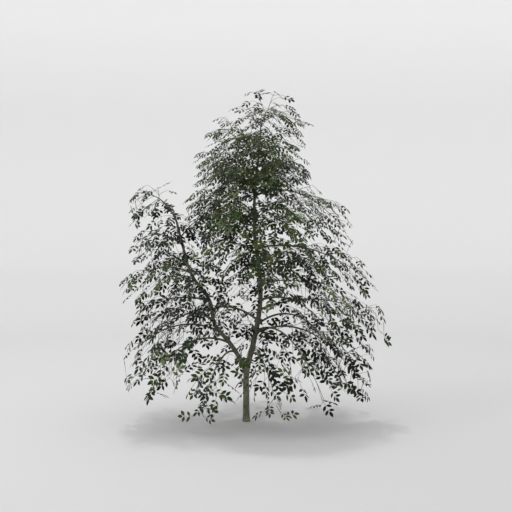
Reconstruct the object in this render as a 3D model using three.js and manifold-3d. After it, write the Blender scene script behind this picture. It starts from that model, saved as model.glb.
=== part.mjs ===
// A young elder tree, about 4 m tall: one trunk that forks low into a left limb and a leader,
// boughs that arch out and hang, and masses of twigs with large leaf blades.
// Millimetres, +Z up. The origin is the centre of the flat cut at ground level, +X is to the
// right as the tree is usually seen, and +Y is its far side.
import * as THREE from "three";
import { mergeVertices } from "three/addons/utils/BufferGeometryUtils.js";
import Module from "manifold-3d";

const wasm = await Module();
wasm.setup();

// Driving dimensions
const SEAT_GAP = 0.3; // where one piece sits on another
const UP = new THREE.Vector3(0, 0, 1);

// The trunk's course: across, away and up. Its first stretch stands upright, so the cut is level.
const TRUNK = {
  course: [
    [0, 0, 0],
    [0, 0, 300],
    [5, 0, 620],
    [95, 15, 1000],
    [158, 25, 1340],
    [176, 20, 1600],
    [160, 0, 1900],
    [108, -15, 2250],
    [98, -20, 2600],
    [115, 0, 2950],
    [158, 20, 3320],
    [178, 20, 3620],
  ],
  footRadius: 41,
  tipRadius: 7,
  taper: 0.85,
  flare: 7,
  flareHeight: 90,
  sides: 10,
  steps: 16,
};

// The left limb leaves the fork, swings out and then climbs beside the leader.
const LEFT_LIMB = {
  course: [
    [2, 0, 600],
    [-60, -12, 750],
    [-205, -45, 985],
    [-385, -80, 1220],
    [-440, -110, 1500],
    [-660, -140, 1830],
    [-772, -160, 2200],
    [-860, -170, 2530],
    [-950, -175, 2660],
  ],
  footRadius: 30,
  tipRadius: 8,
  taper: 0.8,
  sides: 8,
  steps: 12,
};

// Each branch springs from a limb at a height, heads for an azimuth (0 is right, 90 is away),
// reaches so far and ends at another height, arching above the straight line on its way.
// share is how much of it is bare bough, and spread is how far its side twigs stand out.
const COLUMNS = ["name", "on", "from", "azimuth", "reach", "to", "arch", "share", "spread"];
const BRANCHES = [
  ["crown_top", "trunk", "tip", -10, 150, 3830, 90, 0, 640],
  ["top_left", "trunk", 3360, 178, 660, 3500, 150, 0, 480],
  ["top_right", "trunk", 3330, 6, 570, 3480, 130, 0, 470],
  ["top_front", "trunk", 3250, -90, 580, 3360, 150, 0, 480],
  ["top_back", "trunk", 3290, 95, 600, 3400, 150, 0, 480],
  ["upper_left", "trunk", 3000, 172, 760, 3070, 220, 0, 520],
  ["upper_left_front", "trunk", 2900, -135, 740, 2950, 210, 0, 520],
  ["upper_front", "trunk", 2960, -62, 720, 3000, 210, 0, 520],
  ["upper_right", "trunk", 2980, 0, 690, 3030, 200, 0, 500],
  ["upper_back_right", "trunk", 2920, 60, 760, 2960, 220, 0, 520],
  ["upper_back_left", "trunk", 2860, 122, 780, 2900, 220, 0, 520],
  ["high_left", "trunk", 2560, -174, 860, 2560, 240, 0, 560],
  ["high_front_left", "trunk", 2450, -118, 880, 2400, 240, 0, 560],
  ["high_front_right", "trunk", 2480, -46, 980, 2330, 230, 0, 560],
  ["right_droop", "trunk", 2780, -10, 1250, 2180, 300, 0.3, 520],
  ["high_back_right", "trunk", 2520, 36, 1050, 2400, 260, 0, 590],
  ["high_back_left", "trunk", 2380, 128, 960, 2350, 250, 0, 590],
  ["mid_right", "trunk", 2140, 6, 1450, 1680, 200, 0.33, 560],
  ["mid_front", "trunk", 2100, -80, 1050, 1860, 220, 0, 560],
  ["mid_front_left", "trunk", 2060, -134, 900, 1920, 220, 0, 540],
  ["mid_front_right", "trunk", 1690, -26, 1280, 1380, 200, 0, 560],
  ["mid_back_right", "trunk", 1950, 48, 1300, 1620, 260, 0, 590],
  ["mid_back", "trunk", 1750, 100, 1350, 1430, 280, 0, 610],
  ["right_mid", "trunk", 1380, 2, 1590, 1180, 220, 0.34, 560],
  ["right_front_mid", "trunk", 1500, -42, 1400, 900, 280, 0.38, 560],
  ["right_low", "trunk", 1090, -12, 1440, 350, 380, 0.4, 590],
  ["right_front_low", "trunk", 1120, -54, 1500, 200, 400, 0.42, 560],
  ["front_low", "trunk", 830, -72, 1100, 220, 260, 0.38, 470],
  ["right_back_low", "trunk", 1200, 40, 1450, 550, 350, 0.4, 610],
  ["back_low", "trunk", 1000, 92, 1450, 450, 350, 0.4, 610],
  ["back_left_low", "trunk", 1250, 150, 1150, 1000, 250, 0.38, 590],
  ["left_limb_top", "left_limb", "tip", 178, 540, 2520, 200, 0, 520],
  ["left_limb_inner", "left_limb", 2280, 22, 560, 2500, 130, 0, 480],
  ["left_upper_out", "left_limb", 2200, 176, 740, 2080, 170, 0, 520],
  ["left_mid_out", "left_limb", 1850, -172, 860, 1620, 170, 0, 540],
  ["left_out", "left_limb", 1500, 174, 1080, 1180, 170, 0.35, 560],
  ["left_low_out", "left_limb", 1120, -176, 1220, 720, 260, 0.4, 590],
  ["left_low_front", "left_limb", 980, -148, 1280, 420, 300, 0.4, 560],
  ["left_front_low", "left_limb", 860, -112, 1080, 240, 260, 0.4, 540],
  ["left_front_mid", "left_limb", 1650, -100, 980, 1380, 230, 0, 560],
  ["left_back_mid", "left_limb", 1800, 112, 980, 1680, 230, 0, 590],
  ["left_back_low", "left_limb", 1250, 135, 1230, 650, 300, 0.4, 610],
  ["left_inner_front", "left_limb", 1300, -60, 750, 1280, 200, 0, 500],
].map((row) => Object.fromEntries(row.map((value, i) => [COLUMNS[i], value])));

const BOUGH = { footRadius: 14, tipRadius: 10, sides: 6, steps: 3 };

// A mass has one stem, with pairs of twigs about pairGap apart. lead and tail are the bare lengths
// before the first pair and after the last, as shares of the gap between pairs, and shortest is the
// least share of its line that a stem takes.
const STEM = {
  footRadius: 12,
  tipRadius: 9,
  sides: 3,
  fewestPairs: 2,
  pairGap: 400,
  lead: 0.65,
  tail: 0.7,
  shortest: 0.55,
};

// Twigs stand off their stem by angle (degrees), each pair turned on by turn (radians) from the
// last. rise flattens those that climb, droop lowers them all, and they narrow along the stem.
const TWIG = {
  radius: 4.5,
  tipRadius: 4,
  sides: 3,
  angle: 58,
  angleRange: [0.8, 1.15],
  reachRange: [0.8, 1.1],
  firstTurn: 0.2,
  turn: 1.25,
  wobble: 0.3,
  rise: 0.65,
  droop: 0.2,
  narrowing: 0.6,
  shortest: 60,
  leavesAt: 0.55,
  freeAt: [0.3, 0.55, 0.8, 1],
  tries: [1, 0.75, 0.55],
};

// A blade stands for a spray of the tree's own leaves. Each is widest nearer its root, and pastTwig
// is how much of its length reaches past the end of a twig.
const LEAF = {
  length: 300,
  width: 190,
  thickness: 7,
  waist: 0.44,
  outward: 1.1,
  droop: 0.25,
  roll: 0.5,
  sizeRange: [0.85, 1.15],
  tipSunk: 9,
  sideSunk: 1,
  rootZone: 25,
  pastTwig: 0.9,
  tries: [1, 0.8, 0.62],
};

const ROOM = {
  ground: 70, // nothing but the trunk comes nearer to the ground
  limb: 9, // twigs and leaves stay this far from a limb's bark
  mass: 20, // and nearer to their own stem than to any other by this much
};
const SEED = { first: 101, step: 37 };
const SKELETON_STEPS = 6;
const SLIVER = 0.05; // points that stand out by less are dropped
const UPRIGHT = 0.2; // a unit run that leans over by less counts as standing upright
const STRAIGHT_AWAY = 0.44; // and one that turns off the Y axis by less as lying along it

const BARK = new THREE.MeshStandardMaterial({ color: 0x5d5d4a, roughness: 0.92, metalness: 0 });
const FOLIAGE = new THREE.MeshStandardMaterial({ color: 0x3c4a30, roughness: 0.55, metalness: 0 });

// Numbers between 0 and 1 from a seed, the same on every run.
function dice(seed) {
  let state = seed;
  return () => {
    state = (state * 1664525 + 1013904223) % 4294967296;
    return state / 4294967296;
  };
}

// A closed tube through points, square to the given tangents, with a radius at each point.
function tube(points, tangents, radii, sides) {
  const rings = points.length - 1;
  const shape = new THREE.CylinderGeometry(1, 1, 1, sides, rings);
  const frames = [];
  let across = new THREE.Vector3(0, -1, 0);
  if (across.clone().cross(tangents[0]).length() < STRAIGHT_AWAY) {
    across.set(1, 0, 0);
  }
  for (const along of tangents) {
    across = across.clone().addScaledVector(along, -across.dot(along)).normalize();
    frames.push({ across, along, third: across.clone().cross(along) });
  }
  const position = shape.attributes.position;
  for (let i = 0; i < position.count; i += 1) {
    const ring = Math.round((position.getY(i) + 0.5) * rings);
    const place = points[ring].clone();
    place.addScaledVector(frames[ring].across, position.getX(i) * radii[ring]);
    place.addScaledVector(frames[ring].third, position.getZ(i) * radii[ring]);
    position.setXYZ(i, place.x, place.y, place.z);
  }
  return shape;
}

// A closed geometry as a solid for cutting and joining.
function solid(geometry) {
  const bare = geometry.clone();
  bare.deleteAttribute("normal");
  bare.deleteAttribute("uv");
  const merged = mergeVertices(bare, 1e-3);
  return new wasm.Manifold(
    new wasm.Mesh({
      numProp: 3,
      vertProperties: merged.attributes.position.array,
      triVerts: new Uint32Array(merged.index.array),
    }),
  );
}

// The largest body of a solid, as a geometry again.
function geometryOf(joined) {
  const bodies = joined.decompose();
  bodies.sort((a, b) => b.volume() - a.volume());
  const mesh = bodies[0].getMesh();
  const geometry = new THREE.BufferGeometry();
  geometry.setAttribute("position", new THREE.BufferAttribute(new Float32Array(mesh.vertProperties), 3));
  geometry.setIndex(new THREE.BufferAttribute(new Uint32Array(mesh.triVerts), 1));
  return geometry;
}

// A limb follows its course in even steps, thinning from foot to tip, with a flare at the ground.
function limbFrom(name, size) {
  const curve = new THREE.CatmullRomCurve3(size.course.map((place) => new THREE.Vector3(...place)));
  const limb = { name, points: [], tangents: [], radii: [], sides: size.sides };
  for (let i = 0; i <= size.steps; i += 1) {
    const t = i / size.steps;
    const point = curve.getPoint(t);
    const thin = size.tipRadius + (size.footRadius - size.tipRadius) * (1 - t) ** size.taper;
    const flare = size.flare ? size.flare * Math.exp(-point.z / size.flareHeight) : 0;
    limb.points.push(point);
    limb.tangents.push(i === 0 && size.flare ? UP.clone() : curve.getTangent(t));
    limb.radii.push(thin + flare);
  }
  return limb;
}

// The point on a limb's middle line at a height, and the limb's radius there.
function spotOn(limb, height) {
  if (height === "tip") {
    const last = limb.points.length - 1;
    return { point: limb.points[last].clone(), radius: limb.radii[last], tangent: limb.tangents[last] };
  }
  const upper = limb.points.findIndex((point) => point.z >= height);
  const [low, high] = [limb.points[upper - 1], limb.points[upper]];
  const t = (height - low.z) / (high.z - low.z);
  const radius = limb.radii[upper - 1] * (1 - t) + limb.radii[upper] * t;
  return { point: low.clone().lerp(high, t), radius, tangent: null };
}

// A branch's middle line: straight from its root to its tip, lifted by its arch.
function lineOf(branch, limb) {
  const root = spotOn(limb, branch.from);
  const azimuth = THREE.MathUtils.degToRad(branch.azimuth);
  const tip = new THREE.Vector3(
    root.point.x + branch.reach * Math.cos(azimuth),
    root.point.y + branch.reach * Math.sin(azimuth),
    branch.to,
  );
  const chord = tip.clone().sub(root.point);
  const lift = (t) => branch.arch * 4 * t * (1 - t);
  const at = (t) => root.point.clone().addScaledVector(chord, t).addScaledVector(UP, lift(t));
  const along = (t) => chord.clone().addScaledVector(UP, branch.arch * 4 * (1 - 2 * t)).normalize();
  const chordLength = chord.length();
  const length = chordLength + (8 * branch.arch ** 2) / (3 * chordLength); // of so flat a parabola
  return { root, at, along, length };
}

// A stretch of a branch as points, tangents and radii.
function stretch(line, start, end, steps, startRadius, endRadius) {
  const made = { points: [], tangents: [], radii: [] };
  for (let i = 0; i <= steps; i += 1) {
    const t = start + ((end - start) * i) / steps;
    made.points.push(line.at(t));
    made.tangents.push(line.along(t));
    made.radii.push(startRadius + ((endRadius - startRadius) * i) / steps);
  }
  return made;
}

// Whether a straight run from one point to another goes through a leaf's flat rim.
function pierces(start, end, rim) {
  const run = end.clone().sub(start);
  const length = run.length();
  const ray = new THREE.Ray(start, run.normalize());
  const hit = new THREE.Vector3();
  return [2, 3].some((i) => {
    const met = ray.intersectTriangle(rim[0], rim[i - 1], rim[i], false, hit);
    return met !== null && hit.distanceTo(start) < length;
  });
}

function crosses(rim, other) {
  return rim.some((corner, i) => {
    const next = (i + 1) % rim.length;
    return pierces(corner, rim[next], other) || pierces(other[i], other[next], rim);
  });
}

// The four corners of a leaf, from a little way above its root.
function rimOf(leaf) {
  const foot = LEAF.rootZone;
  const half = leaf.width / 2;
  const waist = foot + (leaf.length - foot) * LEAF.waist;
  const corners = [[foot, 0], [waist, half], [leaf.length, 0], [waist, -half]];
  return corners.map(([along, across]) => {
    return leaf.root.clone().addScaledVector(leaf.along, along).addScaledVector(leaf.side, across);
  });
}

// Points spread over a leaf's blade, at both edges and along the midrib.
function bladePoints(leaf) {
  const found = [];
  const rows = 6;
  for (let i = 0; i <= rows; i += 1) {
    const t = i / rows;
    const half = (leaf.width / 2) * Math.min(t / LEAF.waist, (1 - t) / (1 - LEAF.waist));
    for (const side of [-1, 0, 1]) {
      const place = leaf.root.clone().addScaledVector(leaf.along, leaf.length * t);
      found.push(place.addScaledVector(leaf.side, half * side));
    }
  }
  return found;
}

// A leaf blade is a kite folded down along its midrib: a flat tetrahedron whose upper edge is the
// midrib and whose lower edge joins the blade's two side corners.
function bladeOf(leaf) {
  const shape = new THREE.TetrahedronGeometry(1);
  const position = shape.attributes.position;
  const normal = leaf.side.clone().cross(leaf.along);
  for (let i = 0; i < position.count; i += 1) {
    const end = Math.sign(position.getX(i));
    const place = leaf.root.clone();
    if (position.getZ(i) > 0) {
      place.addScaledVector(leaf.along, end > 0 ? leaf.length : 0);
    } else {
      place.addScaledVector(leaf.along, leaf.length * LEAF.waist);
      place.addScaledVector(leaf.side, (end * leaf.width) / 2).addScaledVector(normal, -LEAF.thickness);
    }
    position.setXYZ(i, place.x, place.y, place.z);
  }
  return shape;
}

function segmentsOf(points, radii) {
  return points.slice(1).map((point, i) => ({
    line: new THREE.Line3(points[i], point),
    radius: radii ? Math.max(radii[i], radii[i + 1]) : 0,
  }));
}

// How near a point comes to the surface of a run of segments.
function nearness(point, segments) {
  const onto = new THREE.Vector3();
  let nearest = Infinity;
  for (const { line, radius } of segments) {
    line.closestPointToPoint(point, true, onto);
    nearest = Math.min(nearest, onto.distanceTo(point) - radius);
  }
  return nearest;
}

const trunk = limbFrom("trunk", TRUNK);
const leftLimb = limbFrom("left_limb", LEFT_LIMB);
const limbNamed = { trunk, left_limb: leftLimb };
const limbs = [trunk, leftLimb];
const masses = [];

// The lines come first, since each mass keeps clear of every other one's stem and of every limb.
BRANCHES.forEach((branch, index) => {
  const limb = limbNamed[branch.on];
  const line = lineOf(branch, limb);
  if (branch.share > 0) {
    const bough = stretch(line, 0, branch.share, BOUGH.steps, BOUGH.footRadius, BOUGH.tipRadius);
    limbs.push({ name: branch.name + "_bough", ...bough, sides: BOUGH.sides, parent: limb });
  }
  masses.push({
    name: branch.name + "_leaves",
    branch,
    line,
    parent: branch.share > 0 || branch.from === "tip" ? null : limb,
    skeleton: segmentsOf(stretch(line, branch.share, 1, SKELETON_STEPS, 0, 0).points),
    seed: SEED.first + SEED.step * index,
  });
});
const bark = limbs.flatMap((limb) => segmentsOf(limb.points, limb.radii));
const barkLines = bark.map((segment) => segment.line);

// Whether every point is in the mass's own space, off the ground and clear of every limb.
function free(points, mass, room) {
  return points.every((point) => {
    if (point.z < ROOM.ground || nearness(point, bark) < room) {
      return false;
    }
    const own = nearness(point, mass.skeleton);
    return masses.every((other) => other === mass || nearness(point, other.skeleton) > own + ROOM.mass);
  });
}

// A level direction square to a run, or a fixed one where the run stands upright.
function levelAcross(along) {
  const across = along.clone().cross(UP);
  if (across.length() < UPRIGHT) {
    across.set(1, 0, 0).addScaledVector(along, -along.x);
  }
  return across.normalize();
}

// Where along its line a mass's stem starts, bears its pairs of twigs and ends, short of the line's
// end by the length of the leaf there.
function stopsOf(mass) {
  const { line, branch } = mass;
  const start = branch.share;
  const end = Math.max(STEM.shortest, 1 - (LEAF.length * LEAF.pastTwig) / line.length);
  const pairs = Math.max(STEM.fewestPairs, Math.round((line.length * (1 - start)) / STEM.pairGap));
  const gaps = STEM.lead + pairs - 1 + STEM.tail;
  const shares = Array.from({ length: pairs }, (_, k) => (STEM.lead + k) / gaps);
  return { start, shares, nodes: shares.map((share) => start + (end - start) * share), end };
}

// The stem bends at each pair of twigs, so they spring from its middle line.
function stemOf(mass, stops) {
  const { line, branch } = mass;
  const places = [stops.start, ...stops.nodes, stops.end];
  const points = places.map(line.at);
  const tangents = places.map(line.along);
  const thinning = (STEM.footRadius - STEM.tipRadius) / (places.length - 1);
  if (!mass.parent) {
    tangents[0] = branch.from === "tip" ? line.root.tangent.clone() : tangents[0];
    points[0].addScaledVector(tangents[0], SEAT_GAP);
  }
  return { points, tangents, radii: places.map((_, i) => STEM.footRadius - thinning * i) };
}

// A mass: pairs of twigs stand off its stem in turned planes, each with a pair of leaves and one
// at its tip, and the stem ends in a leaf too. What would leave the mass's space is made shorter,
// or left out, and so is a leaf that would cut through its neighbours.
function growMass(mass) {
  const roll = dice(mass.seed);
  const between = ([low, high]) => low + (high - low) * roll();
  const { line, branch } = mass;
  const stops = stopsOf(mass);
  const stem = stemOf(mass, stops);
  const pieces = [solid(tube(stem.points, stem.tangents, stem.radii, STEM.sides))];
  const rims = [];
  const bars = segmentsOf(stem.points).map((segment) => segment.line);

  // A leaf's root is sunk into its twig or stem.
  const addLeaf = (point, along, sunk) => {
    const side = levelAcross(along).applyAxisAngle(along, between([-LEAF.roll, LEAF.roll]));
    const size = between(LEAF.sizeRange);
    const root = point.clone().addScaledVector(along, -sunk);
    for (const scale of LEAF.tries) {
      const [length, width] = [LEAF.length * size * scale, LEAF.width * size * scale];
      const leaf = { root, along, side, length, width };
      const rim = rimOf(leaf);
      const pierced = [...bars, ...barkLines].some((run) => pierces(run.start, run.end, rim));
      const cut = pierced || rims.some((other) => crosses(rim, other));
      if (!cut && free(bladePoints(leaf), mass, ROOM.limb)) {
        rims.push(rim);
        pieces.push(solid(bladeOf(leaf)));
        return;
      }
    }
  };

  const addTwig = (foot, heading, reach) => {
    for (const scale of TWIG.tries) {
      const length = Math.max(reach * scale - LEAF.length * LEAF.pastTwig, TWIG.shortest);
      const run = heading.clone().addScaledVector(UP, -TWIG.droop).multiplyScalar(length);
      const along = run.clone().normalize();
      const at = (t) => foot.clone().addScaledVector(run, t);
      const cut = rims.some((rim) => pierces(foot, at(1), rim));
      if (!cut && free(TWIG.freeAt.map(at), mass, ROOM.limb + TWIG.radius)) {
        const radii = [TWIG.radius, TWIG.tipRadius];
        pieces.push(solid(tube([foot, at(1)], [along, along], radii, TWIG.sides)));
        bars.push(new THREE.Line3(foot, at(1)));
        for (const hand of [-1, 1]) {
          const out = along.clone().addScaledVector(levelAcross(along), hand * LEAF.outward);
          addLeaf(at(TWIG.leavesAt), out.addScaledVector(UP, -LEAF.droop).normalize(), LEAF.sideSunk);
        }
        addLeaf(at(1), along, LEAF.tipSunk);
        return;
      }
    }
  };

  stops.nodes.forEach((t, k) => {
    const ahead = line.along(t);
    const plane = TWIG.firstTurn + k * TWIG.turn + between([-TWIG.wobble, TWIG.wobble]);
    const across = levelAcross(ahead).applyAxisAngle(ahead, plane);
    const spread = branch.spread * (1 - TWIG.narrowing * stops.shares[k]);
    for (const hand of [-1, 1]) {
      const angle = THREE.MathUtils.degToRad(TWIG.angle) * between(TWIG.angleRange);
      const heading = ahead.clone().multiplyScalar(Math.cos(angle));
      heading.addScaledVector(across, hand * Math.sin(angle));
      heading.z *= heading.z > 0 ? TWIG.rise : 1;
      addTwig(line.at(t), heading, spread * between(TWIG.reachRange));
    }
  });
  const last = stem.points.length - 1;
  addLeaf(stem.points[last], stem.tangents[last], LEAF.tipSunk);

  const joined = wasm.Manifold.union(pieces);
  const cut = mass.parent ? joined.subtract(limbSolid(mass.parent, SEAT_GAP)) : joined;
  return geometryOf(cut.simplify(SLIVER));
}

function limbSolid(limb, extra) {
  return solid(tube(limb.points, limb.tangents, limb.radii.map((radius) => radius + extra), limb.sides));
}

function limbGeometry(limb) {
  const whole = limbSolid(limb, 0);
  const carrier = limb === leftLimb ? trunk : limb.parent;
  return geometryOf(carrier ? whole.subtract(limbSolid(carrier, SEAT_GAP)) : whole);
}

const elderTree = new THREE.Group();
elderTree.name = "elder_tree";

function addNode(name, geometry, material) {
  const mesh = new THREE.Mesh(geometry, material);
  mesh.name = name;
  elderTree.add(mesh);
}

for (const limb of limbs) {
  addNode(limb.name, limbGeometry(limb), BARK);
}
for (const mass of masses) {
  addNode(mass.name, growMass(mass), FOLIAGE);
}

export default elderTree;
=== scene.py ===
import math

import bmesh
import bpy
import numpy as np
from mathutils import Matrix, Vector, noise


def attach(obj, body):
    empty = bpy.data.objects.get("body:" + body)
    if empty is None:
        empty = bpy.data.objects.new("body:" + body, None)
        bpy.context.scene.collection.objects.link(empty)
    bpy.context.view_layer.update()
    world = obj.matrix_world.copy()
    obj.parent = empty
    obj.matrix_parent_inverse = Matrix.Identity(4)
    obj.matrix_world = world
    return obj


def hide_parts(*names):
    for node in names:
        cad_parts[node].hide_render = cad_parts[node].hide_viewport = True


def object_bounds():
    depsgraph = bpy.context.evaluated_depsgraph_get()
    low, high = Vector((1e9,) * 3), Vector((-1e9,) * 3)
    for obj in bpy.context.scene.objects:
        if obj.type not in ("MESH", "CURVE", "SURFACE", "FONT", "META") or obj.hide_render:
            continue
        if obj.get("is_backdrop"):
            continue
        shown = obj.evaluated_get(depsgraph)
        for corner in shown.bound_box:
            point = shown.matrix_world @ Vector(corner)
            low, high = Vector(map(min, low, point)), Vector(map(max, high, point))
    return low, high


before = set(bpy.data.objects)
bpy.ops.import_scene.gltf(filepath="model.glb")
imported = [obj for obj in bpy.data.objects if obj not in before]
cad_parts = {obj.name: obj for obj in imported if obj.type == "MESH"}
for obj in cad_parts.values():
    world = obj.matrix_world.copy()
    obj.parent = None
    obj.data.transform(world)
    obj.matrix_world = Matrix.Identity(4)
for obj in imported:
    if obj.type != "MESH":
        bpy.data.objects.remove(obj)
cadLow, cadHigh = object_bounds()
print("frame: loaded")

up = np.array([0.0, 0.0, 1.0])
toViewer = np.array([0.0, -1.0, 0.0])
toMetres = 0.001
mergeWithin = {"bark": 1e-6, "leaflet": 1e-5, "floor": 1e-4}  # points nearer than this become one

# The limbs' courses, across, away and up. trunkLimb climbs as the leader, and leftLimb leaves it.
trunkLimb = {
    "course": [
        [0, 0, 0],
        [0, 0, 300],
        [5, 0, 620],
        [95, 15, 1000],
        [158, 25, 1340],
        [176, 20, 1600],
        [160, 0, 1900],
        [108, -15, 2250],
        [98, -20, 2600],
        [115, 0, 2950],
        [158, 20, 3320],
        [178, 20, 3620],
    ],
    "footRadius": 41,
    "tipRadius": 7,
    "taper": 0.85,
    "flare": 7,
    "flareHeight": 90,
    "sides": 32,
    "ringGap": 12,
}
leftLimb = {
    "course": [
        [2, 0, 600],
        [-60, -12, 750],
        [-205, -45, 985],
        [-385, -80, 1220],
        [-440, -110, 1500],
        [-660, -140, 1830],
        [-772, -160, 2200],
        [-860, -170, 2530],
        [-950, -175, 2660],
    ],
    "footRadius": 30,
    "tipRadius": 8,
    "taper": 0.8,
    "flare": 0,
    "flareHeight": 1,
    "sides": 24,
    "ringGap": 12,
    "collar": 0.25,  # how much thicker its bark is at the fork
    "collarReach": 120,
}

# Each branch: the limb it springs from and at what height, the azimuth it heads for (0 is right,
# 90 is away), its reach, the height it ends at, its arch, the share of it that is bare bough and
# how far its side twigs stand out.
branchColumns = ["name", "on", "from", "azimuth", "reach", "to", "arch", "share", "spread"]
branchRows = [
    ["crown_top", "trunk", "tip", -10, 150, 3830, 90, 0, 640],
    ["top_left", "trunk", 3360, 178, 660, 3500, 150, 0, 480],
    ["top_right", "trunk", 3330, 6, 570, 3480, 130, 0, 470],
    ["top_front", "trunk", 3250, -90, 580, 3360, 150, 0, 480],
    ["top_back", "trunk", 3290, 95, 600, 3400, 150, 0, 480],
    ["upper_left", "trunk", 3000, 172, 760, 3070, 220, 0, 520],
    ["upper_left_front", "trunk", 2900, -135, 740, 2950, 210, 0, 520],
    ["upper_front", "trunk", 2960, -62, 720, 3000, 210, 0, 520],
    ["upper_right", "trunk", 2980, 0, 690, 3030, 200, 0, 500],
    ["upper_back_right", "trunk", 2920, 60, 760, 2960, 220, 0, 520],
    ["upper_back_left", "trunk", 2860, 122, 780, 2900, 220, 0, 520],
    ["high_left", "trunk", 2560, -174, 860, 2560, 240, 0, 560],
    ["high_front_left", "trunk", 2450, -118, 880, 2400, 240, 0, 560],
    ["high_front_right", "trunk", 2480, -46, 980, 2330, 230, 0, 560],
    ["right_droop", "trunk", 2780, -10, 1250, 2180, 300, 0.3, 520],
    ["high_back_right", "trunk", 2520, 36, 1050, 2400, 260, 0, 590],
    ["high_back_left", "trunk", 2380, 128, 960, 2350, 250, 0, 590],
    ["mid_right", "trunk", 2140, 6, 1450, 1680, 200, 0.33, 560],
    ["mid_front", "trunk", 2100, -80, 1050, 1860, 220, 0, 560],
    ["mid_front_left", "trunk", 2060, -134, 900, 1920, 220, 0, 540],
    ["mid_front_right", "trunk", 1690, -26, 1280, 1380, 200, 0, 560],
    ["mid_back_right", "trunk", 1950, 48, 1300, 1620, 260, 0, 590],
    ["mid_back", "trunk", 1750, 100, 1350, 1430, 280, 0, 610],
    ["right_mid", "trunk", 1380, 2, 1590, 1180, 220, 0.34, 560],
    ["right_front_mid", "trunk", 1500, -42, 1400, 900, 280, 0.38, 560],
    ["right_low", "trunk", 1090, -12, 1440, 350, 380, 0.4, 590],
    ["right_front_low", "trunk", 1120, -54, 1500, 200, 400, 0.42, 560],
    ["front_low", "trunk", 830, -72, 1100, 220, 260, 0.38, 470],
    ["right_back_low", "trunk", 1200, 40, 1450, 550, 350, 0.4, 610],
    ["back_low", "trunk", 1000, 92, 1450, 450, 350, 0.4, 610],
    ["back_left_low", "trunk", 1250, 150, 1150, 1000, 250, 0.38, 590],
    ["left_limb_top", "left_limb", "tip", 178, 540, 2520, 200, 0, 520],
    ["left_limb_inner", "left_limb", 2280, 22, 560, 2500, 130, 0, 480],
    ["left_upper_out", "left_limb", 2200, 176, 740, 2080, 170, 0, 520],
    ["left_mid_out", "left_limb", 1850, -172, 860, 1620, 170, 0, 540],
    ["left_out", "left_limb", 1500, 174, 1080, 1180, 170, 0.35, 560],
    ["left_low_out", "left_limb", 1120, -176, 1220, 720, 260, 0.4, 590],
    ["left_low_front", "left_limb", 980, -148, 1280, 420, 300, 0.4, 560],
    ["left_front_low", "left_limb", 860, -112, 1080, 240, 260, 0.4, 540],
    ["left_front_mid", "left_limb", 1650, -100, 980, 1380, 230, 0, 560],
    ["left_back_mid", "left_limb", 1800, 112, 980, 1680, 230, 0, 590],
    ["left_back_low", "left_limb", 1250, 135, 1230, 650, 300, 0.4, 610],
    ["left_inner_front", "left_limb", 1300, -60, 750, 1280, 200, 0, 500],
]
branches = [dict(zip(branchColumns, row)) for row in branchRows]

room = {
    "ground": 70,  # nothing but the trunk comes nearer to the ground
    "limb": 6,  # twigs and leaves stay this far from a limb's bark
    "box": 35,  # how far a leaf may stand out of the frame's box
    "reach": 1.02,  # the share of its branch's reach that a leaf keeps within
    "shorter": {  # and that share on branches that end sooner
        "left_limb_top": 0.9,
        "left_upper_out": 0.83,
        "left_out": 0.88,
        "left_low_out": 0.98,
        "right_droop": 0.97,
        "right_mid": 0.985,
    },
}


# Numbers between two ends from a seed, the same on every run.
dice = {"step": 1664525, "shift": 1013904223, "faces": 4294967296}


def makeDice(seed):
    state = seed

    def roll(low, high):
        nonlocal state
        state = (state * dice["step"] + dice["shift"]) % dice["faces"]
        return low + (high - low) * state / dice["faces"]

    return roll


def unit(v):
    return v / np.linalg.norm(v)


def turned(v, axis, angle):
    c, s = math.cos(angle), math.sin(angle)
    return v * c + np.cross(axis, v) * s + axis * (axis @ v) * (1 - c)


# A level direction square to a run, or a fixed one where the run stands nearly upright.
nearlyUpright = 0.2


def levelAcross(along):
    across = np.cross(along, up)
    if np.linalg.norm(across) < nearlyUpright:
        across = np.array([1.0, 0.0, 0.0]) - along * along[0]
    return unit(across)


# A centripetal curve through the points of a course, in even steps of its own measure.
def courseCurve(course, steps):
    marks = np.array(course, float)
    ends = np.vstack([2 * marks[0] - marks[1], marks, 2 * marks[-1] - marks[-2]])
    knots = np.sqrt(np.linalg.norm(np.diff(ends, axis=0), axis=1))
    found = []
    for i in range(steps + 1):
        place = i / steps * (len(marks) - 1)
        k = min(int(place), len(marks) - 2)
        t = place - k
        before, here, there, after = ends[k : k + 4]
        gapIn, gap, gapOut = knots[k : k + 3]
        leave = (here - before) / gapIn - (there - before) / (gapIn + gap) + (there - here) / gap
        reach = (there - here) / gap - (after - here) / (gap + gapOut) + (after - there) / gapOut
        leave, reach = leave * gap, reach * gap
        bend = -3 * here + 3 * there - 2 * leave - reach
        twist = 2 * here - 2 * there + leave + reach
        found.append(here + leave * t + bend * t**2 + twist * t**3)
    return np.array(found)


def limbLine(size, steps):
    points = courseCurve(size["course"], steps)
    t = np.linspace(0, 1, steps + 1)
    radii = size["tipRadius"] + (size["footRadius"] - size["tipRadius"]) * (1 - t) ** size["taper"]
    return points, radii + size["flare"] * np.exp(-points[:, 2] / size["flareHeight"])


limbSteps = 240
limbLines = {"trunk": limbLine(trunkLimb, limbSteps), "left_limb": limbLine(leftLimb, limbSteps)}


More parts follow.
